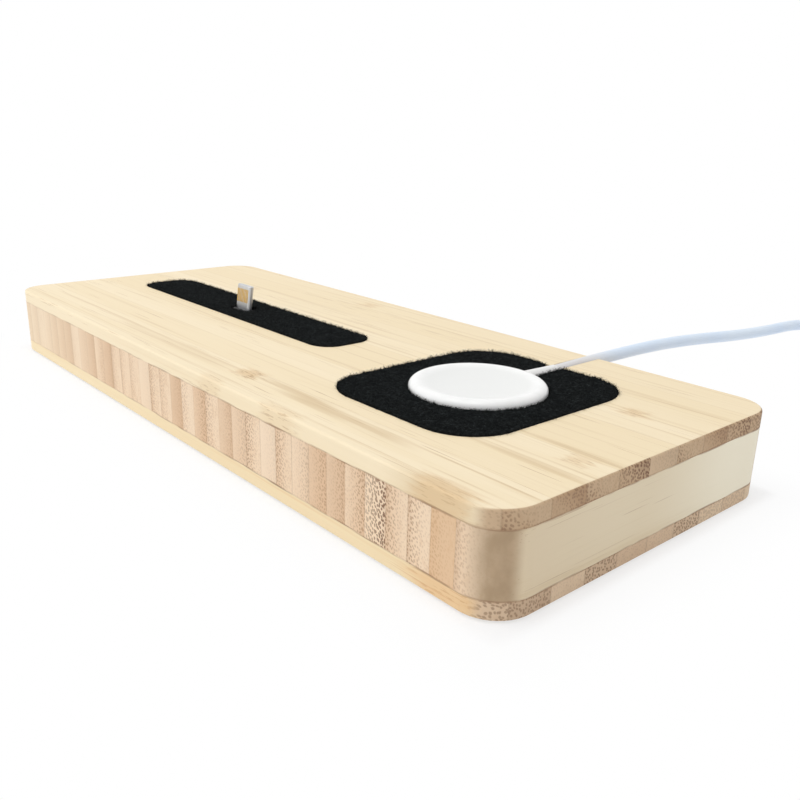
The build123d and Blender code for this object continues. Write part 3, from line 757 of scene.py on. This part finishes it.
def white_floor():
    """Pale floor that the camera sees as white far off, and darker near and under the board."""
    finish = Finish("white_floor", Roughness=0.9, Specular_IOR_Level=0.1)
    place = finish.position_mm()
    speck = finish.noise(place, scale=0.02)
    finish.paint(Base_Color=finish.mix(speck, *floor_tints))
    x, y = finish.split(place)[:2]
    past_end = finish.math("MAXIMUM", finish.math("ABSOLUTE", x) - board_high.x / MM, 0.0)
    past_side = finish.math("MAXIMUM", finish.math("ABSOLUTE", y) - board_high.y / MM, 0.0)
    apart = finish.distance(past_end, past_side)
    glow_share = floor_glow_share + finish.ease(apart, *floor_fade_mm) * (1 - floor_glow_share)
    glow_share = glow_share - (1 - finish.ease(apart, *contact_reach_mm)) * contact_depth
    glow = finish.node("Emission", None, {"Color": plain_white, "Strength": 1.0})
    sockets = {0: finish.seen_rays() * glow_share, 1: finish.shader.outputs[0], 2: glow}
    finish.feed(finish.output.inputs["Surface"], finish.node("MixShader", None, sockets))
    return finish.material


def dress(node, material):
    """Gives a node of the model its finish."""
    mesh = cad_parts[node].data
    mesh.materials.clear()
    mesh.materials.append(material)


def new_piece(name, mesh, material):
    """Adds a piece made here, in place, on the dock's one body."""
    piece = bpy.data.objects.new(name, mesh)
    bpy.context.scene.collection.objects.link(piece)
    piece.data.materials.clear()
    piece.data.materials.append(material)
    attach(piece, "root")
    return piece


def coil_place(quarter):
    """The coil's centreline after a number of quarter turns."""
    angle = math.radians(90 - 90 * quarter)
    radius = inmost_radius + abs(quarter - coil_inmost_quarter) * quarter_shift
    rise_share = (quarter - coil_inmost_quarter) / coil_rise_quarters + 1 / 2
    height = high_layer - coil_pitch * min(1.0, max(0.0, rise_share))
    return Vector((coil_x + radius * math.cos(angle), coil_y + radius * math.sin(angle), height))


def charging_lead(material):
    """The watch charger's lead: out of the groove, over the back edge and down into its coil."""
    places = list(cord_route)
    for step in range(coil_quarters * coil_steps_per_quarter + 1):
        places.append(coil_place(step / coil_steps_per_quarter))
    # From the coil's end it runs to the front and rises to the plug's axis
    lead_end = coil_place(coil_quarters)
    rise = plug_axis_height - low_layer
    places.append(lead_end + Vector((0, -lead_out_length / 3, 0)))
    places.append(lead_end + Vector((0, -lead_out_length * 2 / 3, rise)))
    places.append(lead_end + Vector((0, -lead_out_length, rise)))
    places.append(lead_end + Vector((0, -lead_out_length - cord_diameter, rise)))
    curve = bpy.data.curves.new("charging_lead", "CURVE")
    curve.dimensions = "3D"
    spline = curve.splines.new("NURBS")
    spline.points.add(len(places) - 1)
    for point, place in zip(spline.points, places):
        point.co = (*place, 1.0)
    spline.order_u = 3
    spline.use_endpoint_u = True
    curve.resolution_u = 8
    curve.bevel_depth = cord_diameter / 2
    curve.bevel_resolution = 5
    curve.use_fill_caps = True
    lead = new_piece("charging_lead", curve, material)
    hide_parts("charging_cord", "cord_coil")


# Felt inlays: the pads and their loose fibres
felt_voxel = 0.36 * MM
felt_smoothing = 0.5
felt_smoothing_rounds = 3
felt_lump_rate = 900.0
felt_lump_height = 0.09 * MM
felt_lump_octaves = 3
felt_nap_depth = 0.9 * MM
least_upward = 0.1
rim_upward = 0.93
nap_fibres = 4500
rim_fibres = 6500
nap_length = 0.7 * MM
rim_fibre_length = 0.95 * MM
shortest_share = 0.35
short_fibre_bias = 1.6
fuzz_worn_width = 0.8 * MM
fuzz_worn_share = 0.75
fibre_lean = (0.3, 1.4)
fibre_curl = 0.6
fibre_radius = 0.04 * MM
fibre_taper = 0.6
fibre_steps = 3
fibre_sides = 3


def felt_pad(name, node, material):
    """A felt inlay in place of its plain solid: a fine mesh, eased edges and an uneven nap."""
    pad = bpy.data.objects.new(name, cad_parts[node].data.copy())
    bpy.context.scene.collection.objects.link(pad)
    remesh = pad.modifiers.new("fine_mesh", "REMESH")
    remesh.mode = "VOXEL"
    remesh.voxel_size = felt_voxel
    soften = pad.modifiers.new("eased_edges", "SMOOTH")
    soften.factor = felt_smoothing
    soften.iterations = felt_smoothing_rounds
    evaluated = pad.evaluated_get(bpy.context.evaluated_depsgraph_get())
    mesh = bpy.data.meshes.new_from_object(evaluated)
    bpy.data.objects.remove(pad)
    normals = [vertex.normal.copy() for vertex in mesh.vertices]
    for vertex, normal in zip(mesh.vertices, normals):
        swell = noise.fractal(vertex.co * felt_lump_rate, 1.0, 2.0, felt_lump_octaves)
        vertex.co += normal * swell * felt_lump_height
    mesh.name = name
    mesh.shade_smooth()
    piece = new_piece(name, mesh, material)
    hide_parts(node)
    return piece


def felt_fuzz(name, pad, material, seed):
    """Fine curved fibres on a felt: a short nap, longer at its edges and shorter by the disc."""
    rolls = random.Random(seed)
    mesh = pad.data
    nap_floor = max(vertex.co.z for vertex in mesh.vertices) - felt_nap_depth
    uppers = []
    for face in mesh.polygons:
        if face.normal.z > least_upward and face.center.z > nap_floor:
            uppers.append(face)
    rims = [face for face in uppers if face.normal.z < rim_upward]
    groups = [(uppers, nap_fibres, nap_length), (rims, rim_fibres, rim_fibre_length)]
    vertices, faces = [], []
    for group, count, reach in groups:
        for face in rolls.choices(group, weights=[face.area for face in group], k=count):
            jitter = Vector((rolls.uniform(-1, 1), rolls.uniform(-1, 1), 0)) * felt_voxel / 2
            length = reach * rolls.uniform(shortest_share, 1.0) ** short_fibre_bias
            from_disc = (face.center.xy - Vector((disc_x, disc_y))).length - disc_radius
            if from_disc < fuzz_worn_width:
                length *= fuzz_worn_share
            add_fibre(vertices, faces, face.center + jitter, length, rolls)
    fuzz = bpy.data.meshes.new(name)
    fuzz.from_pydata(vertices, [], faces)
    fuzz.shade_smooth()
    new_piece(name, fuzz, material)


def add_fibre(vertices, faces, root, length, rolls):
    """One tapering fibre that leans over and curls."""
    turn = rolls.uniform(0, 2 * math.pi)
    lean = rolls.uniform(*fibre_lean)
    side = Vector((math.cos(turn), math.sin(turn), 0))
    curl = Vector((-side.y, side.x, 0)) * rolls.uniform(-fibre_curl, fibre_curl)
    base = len(vertices)
    for step in range(fibre_steps + 1):
        share = step / fibre_steps
        up = Vector((0, 0, 1)) * math.cos(lean * share)
        over = side * math.sin(lean * share)
        place = root + (up + over + curl * share * share) * length * share
        width = fibre_radius * (1 - fibre_taper * share)
        for corner in range(fibre_sides):
            angle = turn + corner * 2 * math.pi / fibre_sides
            vertices.append(place + Vector((math.cos(angle), math.sin(angle), 0)) * width)
    for step in range(fibre_steps):
        low = base + step * fibre_sides
        high = low + fibre_sides
        for corner in range(fibre_sides):
            after = (corner + 1) % fibre_sides
            faces.append((low + corner, low + after, high + after, high + corner))


# The charging disc's cover
disc_wall = 1.0 * MM
disc_sides = 144
dish_depth = 1.0 * MM
dish_steepness = 3
dish_steps = 24
rim_reach = 1.6 * MM
rim_drop = 1.3 * MM
rim_flat = 0.3 * MM
rim_steps = 10
merge_distance = 1e-7
sharp_angle = math.radians(50)


def disc_face(material):
    """Cover of the charging disc: a round rim and a dish, flat in its middle, steep at its lip."""
    top = disc_high.z
    seam = disc_low.z
    inner = disc_radius - disc_wall
    ceiling = top - dish_depth - disc_wall
    profile = [(0.0, ceiling), (inner, ceiling), (inner, seam), (disc_radius, seam)]
    for step in range(rim_steps + 1):
        turn = math.pi / 2 * step / rim_steps
        outward = disc_radius - rim_reach * (1 - math.cos(turn))
        profile.append((outward, top - rim_drop * (1 - math.sin(turn))))
    lip = disc_radius - rim_reach - rim_flat
    for step in range(dish_steps + 1):
        share = 1 - step / dish_steps
        profile.append((lip * share, top - dish_depth * (1 - share**dish_steepness)))
    mesh = turned_on_disc_axis("disc_face", profile)
    piece = new_piece("disc_face", mesh, material)
    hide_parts("disc_cover")


def turned_on_disc_axis(name, profile):
    """Turns a profile of radius and height round the disc's upright axis."""
    vertices, faces = [], []
    for side in range(disc_sides):
        angle = 2 * math.pi * side / disc_sides
        for radius, height in profile:
            x = disc_x + radius * math.cos(angle)
            y = disc_y + radius * math.sin(angle)
            vertices.append((x, y, height))
    count = len(profile)
    for side in range(disc_sides):
        here = side * count
        after = (side + 1) % disc_sides * count
        for step in range(count - 1):
            faces.append((here + step, after + step, after + step + 1, here + step + 1))
    mesh = bpy.data.meshes.new(name)
    mesh.from_pydata(vertices, [], faces)
    shape = bmesh.new()
    shape.from_mesh(mesh)
    bmesh.ops.remove_doubles(shape, verts=shape.verts, dist=merge_distance)
    bmesh.ops.recalc_face_normals(shape, faces=shape.faces)
    shape.to_mesh(mesh)
    shape.free()
    mesh.shade_smooth()
    mesh.set_sharp_from_angle(angle=sharp_angle)
    return mesh


def studio():
    """Plain soft light over a pale floor, under a world that the camera sees as white."""
    scene = bpy.context.scene
    scene.view_settings.view_transform = "Standard"
    bpy.ops.mesh.primitive_plane_add(size=floor_size, location=(0, 0, 0))
    floor = bpy.context.active_object
    floor.name = "floor"
    floor.data.materials.append(white_floor())
    world = bpy.data.worlds.new("studio")
    scene.world = world
    world.use_nodes = True
    around = Shading(world.node_tree)
    strength = world_strength + around.seen_rays() * (1 - world_strength)
    light = around.node("Background", None, {"Color": plain_white, "Strength": strength})
    around.node("OutputWorld", None, {"Surface": light}, None)
    for name, place, side, power in lamps:
        lamp = bpy.data.lights.new(name, "AREA")
        lamp.shape = "SQUARE"
        lamp.size = side
        lamp.energy = power
        holder = bpy.data.objects.new(name, lamp)
        holder.location = place
        holder.rotation_euler = (-Vector(place)).to_track_quat("-Z", "Y").to_euler()
        scene.collection.objects.link(holder)


def photo_camera():
    """Camera at the photograph's place and angle."""
    camera = bpy.data.cameras.new("camera")
    camera.sensor_width = sensor_width_mm
    camera.lens = sensor_width_mm * camera_focal_px / photo_width_px
    camera.clip_start = nearest_in_view
    holder = bpy.data.objects.new("camera", camera)
    bpy.context.scene.collection.objects.link(holder)
    holder.matrix_world = (
        Matrix.Translation(camera_place)
        @ Matrix.Rotation(camera_yaw, 4, "Z")
        @ Matrix.Rotation(math.pi / 2 - camera_pitch, 4, "X")
        @ Matrix.Rotation(camera_roll, 4, "Z")
    )
    bpy.context.scene.camera = holder


photo_camera()
studio()

jacket = cord_jacket()
felt = black_felt()
fibre = felt_fibre()
white = gloss_white()
steel = bright_steel()
gold = gold_contact()
black = black_plastic()

dress("top_ply", top_bamboo())
dress("core_ply", core_bamboo())
dress("bottom_ply", bottom_bamboo())
dress("rubber_feet", foot_rubber())
dress("disc_base", white)
dress("circuit_board", circuit_laminate())
dress("ferrite_disc", ferrite_grey())
dress("charging_winding", copper_wire())
dress("disc_magnet", bright_steel("plated_magnet", (196, 194, 188)))
dress("cord_collar", collar_plastic())
dress("plug_body", white)
dress("plug_shell", steel)
dress("plug_tongue", satin_white())
dress("plug_contacts", gold)
dress("connector_body", black)
dress("connector_tip", steel)
dress("connector_pads", gold)
dress("connector_holder", black)
dress("holder_screws", bright_steel("screw_steel", (176, 176, 178)))

disc_face(white)
charging_lead(jacket)
watch_pad = felt_pad("watch_dock_felt", "watch_felt", felt)
phone_pad = felt_pad("phone_dock_felt", "phone_felt", felt)
felt_fuzz("watch_dock_fuzz", watch_pad, fibre, seed=11)
felt_fuzz("phone_dock_fuzz", phone_pad, fibre, seed=12)
